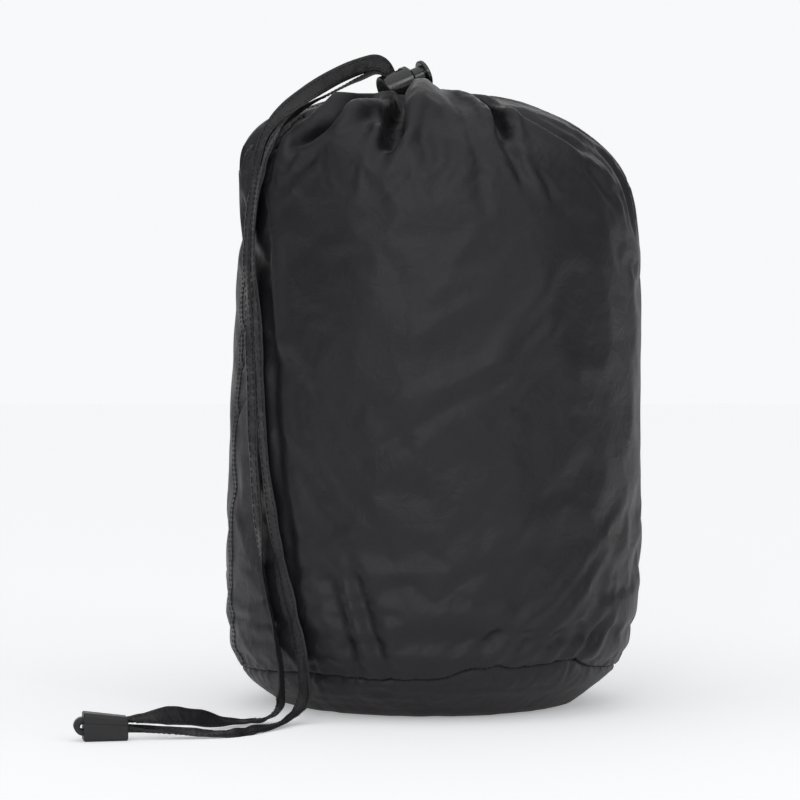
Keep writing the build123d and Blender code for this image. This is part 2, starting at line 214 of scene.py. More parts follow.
def mix_colours(tree, factor, first, second):
    """Two colours mixed by a factor from 0 to 1."""
    mix = tree.nodes.new("ShaderNodeMix")
    mix.data_type = "RGBA"
    tree.links.new(factor, mix.inputs[0])
    mix.inputs[6].default_value = (*first, 1)
    mix.inputs[7].default_value = (*second, 1)
    return mix.outputs[2]


def floor_material():
    material, tree, shader = new_material("floor_paper")
    place = add_node(tree, "ShaderNodeTexCoord").outputs["Object"]
    grain = add_node(tree, "ShaderNodeTexNoise", Vector=place, Scale=3.0, Detail=2.0)
    tint = mix_colours(tree, grain.outputs["Fac"], (0.90, 0.905, 0.915), (0.905, 0.91, 0.92))
    tree.links.new(tint, shader.inputs["Base Color"])
    shader.inputs["Emission Color"].default_value = (0.99, 1.0, 1.01, 1)
    seen = add_node(tree, "ShaderNodeLightPath").outputs["Is Camera Ray"]
    glow = ramp(tree, seen, 0.0, 1.0, FLOOR_BOUNCE, FLOOR_GLOW)
    tree.links.new(glow, shader.inputs["Emission Strength"])
    shader.inputs["Roughness"].default_value = 0.95
    shader.inputs["Specular IOR Level"].default_value = 0.0
    return material


def cloth_material(name, colour, thread_mm, crinkle_mm, crinkle_depth, gloss, specular, sheen):
    """Plain-woven nylon: fine weave, flat dents, soft crinkles, uneven tone and a satin shine."""
    material, tree, shader = new_material(name)
    place = add_node(tree, "ShaderNodeTexCoord").outputs["Object"]
    tone = add_node(tree, "ShaderNodeTexNoise", Vector=place, Scale=18.0, Detail=5.0, Roughness=0.6)
    shade = mix_colours(
        tree, ramp(tree, tone.outputs["Fac"], 0.3, 0.7, 0.0, 1.0),
        [c * 0.82 for c in colour], [c * 1.18 for c in colour],
    )
    weave_uv = add_node(tree, "ShaderNodeUVMap").outputs["UV"]
    heights = []
    for axis in ("X", "Y"):
        wave = add_node(tree, "ShaderNodeTexWave", Vector=weave_uv)
        wave.wave_type = "BANDS"
        wave.bands_direction = axis
        wave.wave_profile = "SIN"
        wave.inputs["Scale"].default_value = 2 * math.pi * 1000 / (20 * thread_mm)
        wave.inputs["Distortion"].default_value = 0.3
        heights.append(wave.outputs["Fac"])
    weave = add_node(tree, "ShaderNodeMath", N0=heights[0], N1=heights[1])
    weave.operation = "ADD"
    thread_shade = add_node(tree, "ShaderNodeMix")
    thread_shade.data_type = "RGBA"
    thread_shade.blend_type = "MULTIPLY"
    thread_shade.inputs[0].default_value = 0.15
    tree.links.new(shade, thread_shade.inputs[6])
    tree.links.new(weave.outputs[0], thread_shade.inputs[7])
    tree.links.new(thread_shade.outputs[2], shader.inputs["Base Color"])
    crinkle = add_node(
        tree, "ShaderNodeTexNoise", Vector=place, Scale=1000 / crinkle_mm, Detail=4.0, Roughness=0.55
    )
    crinkle.inputs["Distortion"].default_value = 1.2
    bend = add_node(tree, "ShaderNodeTexNoise", Vector=place, Scale=35.0, Detail=2.0)
    warp = add_node(tree, "ShaderNodeVectorMath", N0=bend.outputs["Color"], N1=(0.02, 0.02, 0.02))
    warp.operation = "MULTIPLY_ADD"
    tree.links.new(place, warp.inputs[2])
    facet = add_node(tree, "ShaderNodeTexVoronoi", Vector=warp.outputs[0], Scale=1000 / crinkle_mm / 3.2)
    facet.distance = "MANHATTAN"
    fine = add_node(tree, "ShaderNodeBump", Strength=0.15, Distance=0.0002, Height=weave.outputs[0])
    dents = add_node(tree, "ShaderNodeBump", Strength=0.4, Distance=crinkle_depth * 4 * MM)
    tree.links.new(facet.outputs["Distance"], dents.inputs["Height"])
    tree.links.new(fine.outputs["Normal"], dents.inputs["Normal"])
    coarse = add_node(tree, "ShaderNodeBump", Strength=1.0, Distance=crinkle_depth * MM)
    tree.links.new(crinkle.outputs["Fac"], coarse.inputs["Height"])
    tree.links.new(dents.outputs["Normal"], coarse.inputs["Normal"])
    tree.links.new(coarse.outputs["Normal"], shader.inputs["Normal"])
    tree.links.new(
        ramp(tree, tone.outputs["Fac"], 0.3, 0.7, gloss - 0.05, gloss + 0.06), shader.inputs["Roughness"]
    )
    shader.inputs["Specular IOR Level"].default_value = specular
    shader.inputs["Sheen Weight"].default_value = sheen
    shader.inputs["Sheen Roughness"].default_value = 0.35
    return material


def plastic_material(name, colour, gloss, grain_depth, refraction):
    """Injection-moulded plastic: fine spark-eroded grain, faint scuffs that change the gloss."""
    material, tree, shader = new_material(name)
    place = add_node(tree, "ShaderNodeTexCoord").outputs["Object"]
    grain = add_node(tree, "ShaderNodeTexNoise", Vector=place, Scale=2600.0, Detail=2.0)
    scuff = add_node(tree, "ShaderNodeTexNoise", Vector=place, Scale=160.0, Detail=6.0, Roughness=0.7)
    tone = mix_colours(
        tree, ramp(tree, scuff.outputs["Fac"], 0.35, 0.75, 0.0, 1.0),
        [c * 0.9 for c in colour], [c * 1.35 for c in colour],
    )
    tree.links.new(tone, shader.inputs["Base Color"])
    bump = add_node(tree, "ShaderNodeBump", Strength=0.6, Distance=grain_depth * MM)
    tree.links.new(grain.outputs["Fac"], bump.inputs["Height"])
    tree.links.new(bump.outputs["Normal"], shader.inputs["Normal"])
    tree.links.new(
        ramp(tree, scuff.outputs["Fac"], 0.3, 0.7, gloss - 0.04, gloss + 0.1), shader.inputs["Roughness"]
    )
    shader.inputs["IOR"].default_value = refraction
    return material


def steel_material():
    """Drawn spring wire: fine lengthwise streaks in tone and gloss."""
    material, tree, shader = new_material("spring_wire")
    place = add_node(tree, "ShaderNodeTexCoord").outputs["Object"]
    drawn = add_node(tree, "ShaderNodeTexNoise", Vector=place, Scale=900.0, Detail=3.0)
    tree.links.new(ramp(tree, drawn.outputs["Fac"], 0.3, 0.7, 0.22, 0.4), shader.inputs["Roughness"])
    tone = mix_colours(tree, drawn.outputs["Fac"], (0.5, 0.5, 0.51), (0.66, 0.66, 0.67))
    tree.links.new(tone, shader.inputs["Base Color"])
    shader.inputs["Metallic"].default_value = 1.0
    return material


make_camera()
make_surroundings()
# Name, colour, thread width, crinkle size and crinkle depth in millimetres, roughness, specular, sheen.
sack_cloth = cloth_material("sack_cloth", (0.0150, 0.0134, 0.0160), 0.3, 11.0, 0.5, 0.38, 0.38, 0.02)
tape_cloth = cloth_material("tape_cloth", (0.0155, 0.0145, 0.0165), 0.3, 5.0, 0.6, 0.36, 0.45, 0.04)
binding_cloth = cloth_material("binding_cloth", (0.02, 0.02, 0.021), 0.5, 5.0, 0.3, 0.6, 0.3, 0.1)
stuffing_cloth = cloth_material("stuffing_cloth", (0.12, 0.13, 0.15), 0.5, 12.0, 0.8, 0.6, 0.3, 0.1)
thread = cloth_material("thread", (0.010, 0.010, 0.011), 0.2, 1.0, 0.05, 0.6, 0.25, 0.0)
# Name, colour, roughness, grain depth in millimetres, refraction.
lock_plastic = plastic_material("lock_plastic", (0.012, 0.012, 0.0125), 0.14, 0.004, 1.68)
cord_end_plastic = plastic_material("cord_end_plastic", (0.02, 0.02, 0.021), 0.42, 0.04, 1.5)
spring_steel = steel_material()


# --- Mesh helpers ---------------------------------------------------------------------------------
def mesh_object(name, points, faces, material, uvs=None):
    mesh = bpy.data.meshes.new(name)
    mesh.from_pydata([tuple(p) for p in points], [], [tuple(f) for f in faces])
    mesh.validate()
    mesh.polygons.foreach_set("use_smooth", np.ones(len(mesh.polygons), bool))
    if uvs is not None:
        layer = mesh.uv_layers.new(name="weave")
        corners = np.zeros(len(mesh.loops), np.int32)
        mesh.loops.foreach_get("vertex_index", corners)
        layer.data.foreach_set("uv", np.asarray(uvs, np.float32)[corners].ravel())
    mesh.materials.append(material)
    piece = bpy.data.objects.new(name, mesh)
    bpy.context.scene.collection.objects.link(piece)
    return piece


def grid_faces(rows, columns, closed):
    """Quads between rows of points; closed joins the last column to the first."""
    across = np.arange(columns if closed else columns - 1)
    row, column = np.meshgrid(np.arange(rows - 1), across, indexing="ij")
    after = (column + 1) % columns
    here, below = row * columns, (row + 1) * columns
    return np.stack([here + column, here + after, below + after, below + column], axis=-1).reshape(-1, 4)


def tube_faces(rows, columns):
    """Quads of a tube made of rings, with a face over each end."""
    faces = grid_faces(rows, columns, True).tolist()
    faces.append(list(range(columns))[::-1])
    faces.append([(rows - 1) * columns + k for k in range(columns)])
    return faces


def vertex_places(mesh):
    places = np.zeros(len(mesh.vertices) * 3)
    mesh.vertices.foreach_get("co", places)
    return places.reshape(-1, 3)


def unit(vectors):
    return vectors / np.maximum(np.linalg.norm(vectors, axis=-1, keepdims=True), 1e-12)


def lengths_along(points):
    return np.concatenate([[0], np.cumsum(np.linalg.norm(np.diff(points, axis=0), axis=1))])


def smooth_along(values, reach, axis=0):
    """Softens values with a bell of that many samples, holding the ends."""
    taps = np.arange(-3 * reach, 3 * reach + 1)
    bell = np.exp(-0.5 * (taps / reach) ** 2)
    bell /= bell.sum()
    edge = 3 * reach

    def soften(line):
        first = 2 * line[0] - line[edge:0:-1]
        last = 2 * line[-1] - line[-2:-edge - 2:-1]
        return np.convolve(np.concatenate([first, line, last]), bell, mode="valid")

    return np.apply_along_axis(soften, axis, values)


# --- Tape tails -----------------------------------------------------------------------------------
def smooth_line(name, route):
    """Points of the NURBS line whose control points are the route."""
    curve = bpy.data.curves.new(name, "CURVE")
    curve.dimensions = "3D"
    curve.resolution_u = 24
    spline = curve.splines.new("NURBS")
    spline.points.add(len(route) - 1)
    for point, place in zip(spline.points, route):
        point.co = (place[0] * MM, place[1] * MM, place[2] * MM, 1)
    spline.order_u = 3
    spline.use_endpoint_u = True
    holder = bpy.data.objects.new(name, curve)
    bpy.context.scene.collection.objects.link(holder)
    mesh = bpy.data.meshes.new_from_object(holder)
    points = np.array([tuple(v.co) for v in mesh.vertices])
    bpy.data.objects.remove(holder)
    bpy.data.curves.remove(curve)
    bpy.data.meshes.remove(mesh)
    return points


def tape_frames(points, route, turns):
    """Tangent, width and face directions at each point of a tape's line."""
    tangents = unit(np.gradient(points, axis=0))
    along = lengths_along(points)
    stations = []
    for index, direction in turns:
        control = np.array(route[index]) * MM
        stations.append(along[np.argmin(np.linalg.norm(points - control, axis=1))])
    directions = np.array([direction for _, direction in turns], float)
    widths = np.stack([np.interp(along, stations, directions[:, k]) for k in range(3)], axis=1)
    widths = smooth_along(widths, 6)
    widths = unit(widths - tangents * (widths * tangents).sum(1, keepdims=True))
    faces = np.cross(tangents, widths)
    twist = wander(len(points), 9, 0.09)[:, None]
    widths = widths * np.cos(twist) + faces * np.sin(twist)
    return along, tangents, widths, np.cross(tangents, widths)


def wander(count, reach, scale):
    """A gentle seeded random line."""
    return smooth_along(random.standard_normal(count), reach) * scale * math.sqrt(reach * 3.5)


def make_tape(name, route, turns):
    """A folded cloth strip that follows its route, crowned across and a little uneven along."""
    points = smooth_line(name, route)
    along, tangents, widths, faces = tape_frames(points, route, turns)
    count = len(points)
    top = [-1.0, -0.97, -0.8, -0.45, 0.0, 0.45, 0.8, 0.97, 1.0]
    crown = [0.0, 0.55, 0.9, 0.7, 0.62, 0.7, 0.9, 0.55, 0.0]
    across = np.array(top + top[-2:0:-1])
    lift = np.array(crown + [-rise for rise in crown[-2:0:-1]])
    half = TAPE_WIDTH / 2 * np.clip(0.95 + wander(count, 5, 0.025), 0.86, 1.04)
    for distance, grip, fade, squeeze in (
        (along, LOCK_GRIP, LOCK_FADE, LOCK_SQUEEZE),
        (along[-1] - along, END_GRIP, END_FADE, END_SQUEEZE),
    ):
        half *= np.interp(distance, (0, grip, grip + fade), (squeeze, squeeze, 1.0))
    cup = wander(count, 12, 0.5 * MM)
    ripple = wander(count, 3, 0.3 * MM)
    rings = (
        points[:, None, :]
        + widths[:, None, :] * (across[None, :] * half[:, None])[..., None]
        + faces[:, None, :]
        * (
            lift[None, :] * TAPE_THICKNESS / 2
            + cup[:, None] * across[None, :] ** 2
            + ripple[:, None] * across[None, :]
        )[..., None]
    )
    columns = len(across)
    uv = np.stack([np.repeat(along, columns), np.tile(across * TAPE_WIDTH / 2, count)], axis=1)
    piece = mesh_object(name, rings.reshape(-1, 3), tube_faces(count, columns), tape_cloth, uv)
    return piece, points, (along, tangents, widths, faces, half, cup, ripple)


def stitch_mesh(name, middles, directions, ups, length, thickness, material):
    """Many short stitches in one mesh: rounded dashes that dip at both ends."""
    middles = np.asarray(middles)
    directions, ups = unit(np.asarray(directions)), unit(np.asarray(ups))
    sides = np.cross(directions, ups)
    # Along a stitch: share of its length, rise and size as shares of its thickness.
    stations = [
        (-0.5, -0.6, 0.45), (-0.34, 0.2, 0.95), (0.0, 0.5, 1.0), (0.34, 0.2, 0.95), (0.5, -0.6, 0.45),
    ]
    ring = np.linspace(0, 2 * math.pi, 6, endpoint=False)
    rows = []
    for share, rise, size in stations:
        centre = middles + directions * (share * length) + ups * (rise * thickness / 2)
        for angle in ring:
            spoke = sides * math.cos(angle) + ups * math.sin(angle)
            rows.append(centre + spoke * (size * thickness / 2))
    block = np.stack(rows, axis=1)
    template = tube_faces(len(stations), len(ring))
    size = len(stations) * len(ring)
    faces = [[corner + k * size for corner in face] for k in range(len(middles)) for face in template]
    return mesh_object(name, block.reshape(-1, 3), faces, material)


def tape_stitches(name, points, tape):
    """Two rows of lockstitch near the tape's edges, on both faces."""
    along, tangents, widths, faces, half, cup, ripple = tape
    first_gap, last_gap, pitch = 4 * MM, 3 * MM, 2.9 * MM
    places = np.arange(first_gap, along[-1] - last_gap, pitch)
    pick = np.searchsorted(along, places)
    middles, directions, ups = [], [], []
    for share in (-0.62, 0.62):
        for face in (1, -1):
            height = face * 0.82 * TAPE_THICKNESS / 2 + cup[pick] * share**2 + ripple[pick] * share
            aside = widths[pick] * (share * half[pick])[:, None]
            middles.append(points[pick] + aside + faces[pick] * height[:, None])
            directions.append(tangents[pick])
            ups.append(faces[pick] * face)
    rows = (np.concatenate(part) for part in (middles, directions, ups))
    return stitch_mesh(name, *rows, 2.1 * MM, 0.34 * MM, thread)


def make_tails():
    for name, node, route, turns in (
        ("tape_tail_upper", "drawstring_tail_a", tail_a_route, tail_a_turns),
        ("tape_tail_front", "drawstring_tail_b", tail_b_route, tail_b_turns),
    ):
        piece, points, tape = make_tape(name, route, turns)
        stitches = tape_stitches(name + "_stitching", points, tape)
        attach(piece, "sack")
        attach(stitches, "sack")
        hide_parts(node)


# --- Sack -----------------------------------------------------------------------------------------
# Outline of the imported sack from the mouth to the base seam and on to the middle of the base, as
# (radius, height) in millimetres, on its left, where the shoulder is square, and on its right.
left_outline = [
    (10, 344), (13, 347.5), (20, 351), (30, 352.5), (48, 353.5), (68, 351), (86, 346.5), (97, 341.5),
    (103.5, 336), (108.5, 329.5), (112, 322), (113.6, 314), (113.4, 304), (112.8, 292), (113, 276),
    (116, 237), (119.5, 178), (121, 119), (122, 60), (120.5, 37), (117, 27), (113.5, 21.5),
]
right_outline = [
    (10, 344), (14, 349), (22, 355.5), (36, 356), (50, 352.5), (62, 348.5), (70, 345.5), (78, 342),
    (87, 336.5), (94.5, 331), (103, 324), (109.5, 317), (114, 308), (118, 295), (121.2, 266), (122.5, 237),
    (122, 178), (122.3, 119), (121, 60), (116, 37), (110.5, 27), (107.5, 21.8),
]
base_left = [(113.5, 21.5), (107, 13.4), (97, 6.4), (90, 1.6), (82, 0.3), (40, 0.2), (0.5, 0.2)]
base_right = [(107.5, 21.8), (97, 13.0), (90, 6.8), (83, 1.6), (76, 0.3), (40, 0.2), (0.5, 0.2)]
# Where the base seam runs: (angle, share of the way from the mouth), with angles in degrees from the
# right, round the back; the seam climbs where the cloth is bunched at the front right. These points and
# those of the folds were picked by eye in the photo, and a scratch script converted part of them to
# angle and share; report.md says how many.
seam_line = [
    (0, 0.995), (90, 1.0), (186, 1.0), (232, 0.988), (255, 0.994), (270, 0.992), (274, 0.988),
    (278, 0.978), (287, 0.97), (293, 0.977), (304, 0.974), (313, 0.966), (322, 0.984), (339, 0.994),
    (360, 0.995),
]
# Creases and ridges of the cloth: points as (angle, share of the way from the mouth to the base seam),
# then height, which is negative for a crease, and width in millimetres.
folds = [
    ([(247, 0.05), (250, 0.11), (256, 0.2), (257, 0.245), (254, 0.285)], -10.0, 5.0),
    ([(244, 0.1), (250, 0.18), (252, 0.24)], -6.5, 10.0),
    ([(231, 0.06), (240, 0.17), (240, 0.26)], 5.5, 10.0),
    ([(236, 0.08), (239, 0.16), (236.8, 0.22), (229.2, 0.251), (223.5, 0.263), (222.3, 0.295)], -7.0, 4.5),
    ([(220, 0.1), (224, 0.15), (224.8, 0.19), (221, 0.218), (215, 0.24)], -4.5, 4.0),
    ([(228, 0.1), (232.5, 0.17), (229.8, 0.202), (225, 0.236)], 3.5, 4.0),
    ([(234.2, 0.279), (228.5, 0.299), (222, 0.32)], -2.2, 3.5),
    ([(190, 0.24), (192, 0.3), (192, 0.37)], 3.0, 3.0),
    ([(197, 0.25), (198.5, 0.3), (198, 0.36)], 3.0, 3.0),
    ([(260, 0.06), (266, 0.16), (268, 0.25)], 5.5, 13.0),
    ([(264, 0.235), (268, 0.27), (269, 0.31)], -2.6, 5.0),
    ([(275, 0.25), (274.5, 0.295), (270, 0.325)], -1.5, 4.5),
    ([(272, 0.15), (279, 0.228)], 1.5, 5.0),
    ([(281, 0.2), (283, 0.3), (284, 0.38)], -1.5, 4.0),
    ([(286, 0.07), (295, 0.138), (295, 0.2), (292.8, 0.265)], -8.0, 4.5),
    ([(280, 0.1), (288, 0.16), (287, 0.24)], 3.0, 8.0),
    ([(292.5, 0.255), (294, 0.29), (296.5, 0.33)], -2.6, 3.5),
    ([(296, 0.255), (299, 0.3), (302, 0.35)], 1.8, 6.0),
    ([(299, 0.29), (303, 0.32), (306, 0.35)], -2.2, 3.0),
    ([(297, 0.16), (303, 0.2), (310, 0.235), (320, 0.28), (335, 0.31)], 2.6, 4.5),
    ([(302, 0.15), (309, 0.19), (318, 0.235), (330, 0.27)], -3.0, 4.0),
    ([(306, 0.12), (316, 0.17), (330, 0.22), (345, 0.27)], 2.4, 5.0),
    ([(336, 0.24), (342, 0.31), (346, 0.39)], -2.0, 4.0),
    ([(318, 0.27), (325, 0.31), (331, 0.345)], -1.6, 3.5),
    ([(326, 0.26), (334, 0.32), (338, 0.4)], 1.4, 4.0),
    ([(345, 0.16), (350, 0.28), (352, 0.42)], -2.2, 5.0),
    ([(197, 0.2), (193, 0.31), (193.5, 0.42)], -3.2, 5.0),
    ([(209, 0.18), (209.5, 0.285), (210, 0.42)], -3.4, 5.0),
    ([(203, 0.2), (201, 0.3), (202, 0.4)], 2.2, 4.0),
    ([(216, 0.3), (219, 0.4), (220, 0.55)], 1.6, 6.0),
    ([(188, 0.18), (186, 0.3)], 2.2, 5.0),
    ([(205, 0.493), (200, 0.51), (194, 0.53)], -1.3, 2.2),
    ([(205, 0.54), (200, 0.56), (194, 0.585)], -1.1, 2.2),
    ([(206, 0.6), (200, 0.62), (195, 0.65)], -1.2, 2.4),
    ([(258, 1.0), (253.2, 0.924), (249, 0.86), (246, 0.81)], -2.3, 3.6),
    ([(263, 1.0), (258, 0.91), (254, 0.83)], 1.4, 5.0),
    ([(253.5, 1.0), (248.8, 0.91), (244.5, 0.83)], 1.3, 4.2),
    ([(249.5, 1.0), (244.2, 0.906), (239.5, 0.83)], -1.9, 3.6),
    ([(244, 0.99), (238, 0.9), (233, 0.82)], 1.3, 5.0),
    ([(213, 0.365), (216.5, 0.481), (220.5, 0.617), (224, 0.723), (228.6, 0.83), (232.5, 0.98)], -3.0, 5.5),
    ([(287, 0.985), (301, 0.91), (313, 0.85), (328, 0.78)], -2.2, 4.0),
    ([(289, 0.985), (305, 0.895), (318, 0.83), (334, 0.74)], 2.0, 6.0),
    ([(277, 0.99), (286, 0.93), (298, 0.86)], -0.9, 4.2),
    ([(281, 0.99), (290, 0.93), (299, 0.88)], 1.6, 4.5),
    ([(313, 0.975), (320, 0.94), (326, 0.9)], -1.8, 2.6),
    ([(318, 0.98), (325, 0.94), (330, 0.9)], 1.4, 3.0),
    ([(303, 0.99), (312, 0.94), (322, 0.87)], -1.2, 3.6),
    ([(244, 0.66), (256, 0.625), (268, 0.59), (280, 0.575)], 1.0, 5.0),
    ([(246, 0.7), (262, 0.655), (272, 0.63)], -0.9, 4.5),
    ([(262, 0.49), (276, 0.45), (292, 0.44)], 1.0, 6.0),
    ([(284, 0.6), (296, 0.54), (306, 0.5)], 1.2, 7.0),
    ([(288, 0.63), (300, 0.58), (309, 0.55)], -1.0, 5.0),
    ([(236, 0.44), (246, 0.42), (256, 0.43)], -0.9, 6.0),
    ([(262, 0.78), (276, 0.74), (288, 0.7)], 0.9, 6.0),
    ([(228, 0.62), (236, 0.58), (242, 0.52)], 0.9, 6.0),
    ([(268, 0.86), (282, 0.84), (300, 0.8)], -0.9, 5.0),
    ([(280, 0.587), (290, 0.517), (300, 0.459), (309.5, 0.409)], 1.5, 6.0),
    ([(284, 0.605), (295, 0.53), (306, 0.465)], -1.2, 4.5),
    ([(258.5, 0.541), (272.5, 0.503), (287, 0.459)], 1.3, 6.0),
    ([(263, 0.617), (279, 0.577), (297.5, 0.539)], 1.4, 6.0),
    ([(262, 0.645), (279, 0.603), (296, 0.565)], -1.1, 4.5),
    ([(266, 0.876), (287, 0.798), (315.8, 0.721)], 1.3, 7.0),
]
SKIN_COLUMNS = 232
WALL_ROWS = 124
BASE_ROWS = 34
PIN_MOUTH = 0.09         # share of the wall, from the mouth, that the drawn casing holds
PIN_SHOULDER = 0.36      # and that the gathers stiffen
CLOTH_MOVE = 6 * MM      # furthest that draping moves the cloth
WALL_LENGTH = 0.42       # from the mouth to the base seam, along the cloth
LOCK_RADIUS = 9 * MM


def even_outline(outline, count, reach):
    """The outline as evenly spaced points with its corners softened."""
    corners = np.array(outline, float) * MM
    along = lengths_along(corners)
    places = np.linspace(0, along[-1], count)
    line = np.stack([np.interp(places, along, corners[:, k]) for k in range(2)], axis=1)
    return smooth_along(line, reach)


def periodic_noise(angle, along, wave, stretch, seed, count=14):
    """Smooth seeded noise on the sack's wall; wave is its length in metres, stretch lengthens it upwards."""
    source = np.random.default_rng(seed)
    total = np.zeros(np.broadcast(angle, along).shape)
    for _ in range(count):
        turns = round(source.normal(0, 2 * math.pi * BELLY / wave / 1.6))
        rise = source.normal(0, 2 * math.pi / (wave * stretch) / 1.6)
        total += np.sin(turns * angle + rise * along + source.uniform(0, 2 * math.pi))
    return total / math.sqrt(count / 2)


def away_degrees(degrees, middle):
    return (degrees - middle + 180) % 360 - 180


def fold_relief(chosen, degrees, share, radius):
    """The listed creases and ridges, fading at both ends."""
    relief = np.zeros(degrees.shape)
    for line, height, width in chosen:
        best = np.full(degrees.shape, 1e9)
        where = np.zeros(degrees.shape)
        spans = len(line) - 1
        for k in range(spans):
            (a0, s0), (a1, s1) = line[k], line[k + 1]
            across = np.radians(away_degrees(degrees, a0)) * radius
            down = (share - s0) * WALL_LENGTH
            run = np.radians(a1 - a0) * radius
            drop = (s1 - s0) * WALL_LENGTH
            t = np.clip((across * run + down * drop) / (run**2 + drop**2), 0, 1)
            off = np.hypot(across - t * run, down - t * drop)
            where = np.where(off < best, (k + t) / spans, where)
            best = np.minimum(best, off)
        swell = np.clip(np.minimum(where, 1 - where) / 0.3, 0, 1)
        swell = 0.15 + 0.85 * swell * swell * (3 - 2 * swell)
        off = best / (width * MM)
        profile = np.exp(-(off**2)) - (0.32 * np.exp(-((off - 1.9) ** 2)) if height < 0 else 0)
        relief += height * MM * swell * profile
    return relief


def pucker_relief(degrees, gap, radius, seed, count, reach, width, height, lean):
    """Short gathers that start at a seam or hem; gap is the distance from it, in metres."""
    source = np.random.default_rng(seed)
    relief = np.zeros(degrees.shape)
    for _ in range(count):
        middle = source.uniform(0, 360)
        run = source.uniform(*reach) * MM
        wide = source.uniform(*width) * MM
        tall = source.uniform(*height) * MM * (1 if source.random() < 0.5 else -1)
        slant = source.normal(0, lean)
        off = np.radians(away_degrees(degrees, middle)) * radius - slant * gap
        relief += tall * np.exp(-((off / (wide * (0.6 + gap / run))) ** 2)) * np.clip(1 - gap / run, 0, 1)
    return relief


def skin_grid():
    """The sack's cloth as one grid, from the mouth down the wall and under the base."""
    columns = np.arange(SKIN_COLUMNS) * 2 * math.pi / SKIN_COLUMNS
    degrees = np.degrees(columns)
    turn = np.linspace(-90, 450, 1081)       # past a whole turn at both ends, to be softened evenly
    seam = np.interp(turn % 360, [angle for angle, _ in seam_line], [place for _, place in seam_line])
    seam = np.interp(degrees, turn, smooth_along(seam, 3))
    wall = np.linspace(0, 1, WALL_ROWS)[:, None] * seam[None, :]
    base = seam[None, :] + np.linspace(0, 1, BASE_ROWS)[1:, None] ** 1.15 * (2 - seam[None, :])
    share = np.concatenate([wall, base])
    sides = []
    for outline, bottom in ((left_outline, base_left), (right_outline, base_right)):
        line = np.concatenate([even_outline(outline, 400, 6), even_outline(bottom, 200, 4)[1:]])
        steps = np.concatenate([np.linspace(0, 1, 400), np.linspace(1, 2, 200)[1:]])
        line = smooth_along(line, 3)
        sides.append(np.stack([np.interp(share, steps, line[:, k]) for k in range(2)], axis=-1))
    weight = ((1 - np.cos(columns)) / 2)[None, :, None]
    outline = sides[0] * weight + sides[1] * (1 - weight)
    return columns, share, outline


def spun(outline, columns):
    return np.stack(
        [outline[..., 0] * np.cos(columns), outline[..., 0] * np.sin(columns), outline[..., 1]], axis=-1
    )


def grid_normals(points):
    """Outward normals of a grid that closes around the sack."""
    down = np.gradient(points, axis=0)
    around = np.roll(points, -1, axis=1) - np.roll(points, 1, axis=1)
    return unit(np.cross(down, around))


def refine(grid, factor):
    """A smoother, denser grid through the same points; its columns close on themselves."""
    def split(values, closed):
        if closed:
            padded = np.concatenate([values[-1:], values, values[:2]])
        else:
            first = 2 * values[:1] - values[1:2]
            last = 2 * values[-1:] - values[-2:-1]
            padded = np.concatenate([first, values, last])
        before, start, end, after = padded[:-3], padded[1:-2], padded[2:-1], padded[3:]
        parts = []
        for t in np.arange(factor) / factor:
            parts.append(0.5 * (
                2 * start + (end - before) * t + (2 * before - 5 * start + 4 * end - after) * t**2
                + (3 * start - before - 3 * end + after) * t**3
            ))
        dense = np.stack(parts, axis=1).reshape((-1,) + values.shape[1:])
        return dense if closed else np.concatenate([dense, values[-1:]])

    grid = split(grid, False)
    return np.swapaxes(split(np.swapaxes(grid, 0, 1), True), 0, 1)


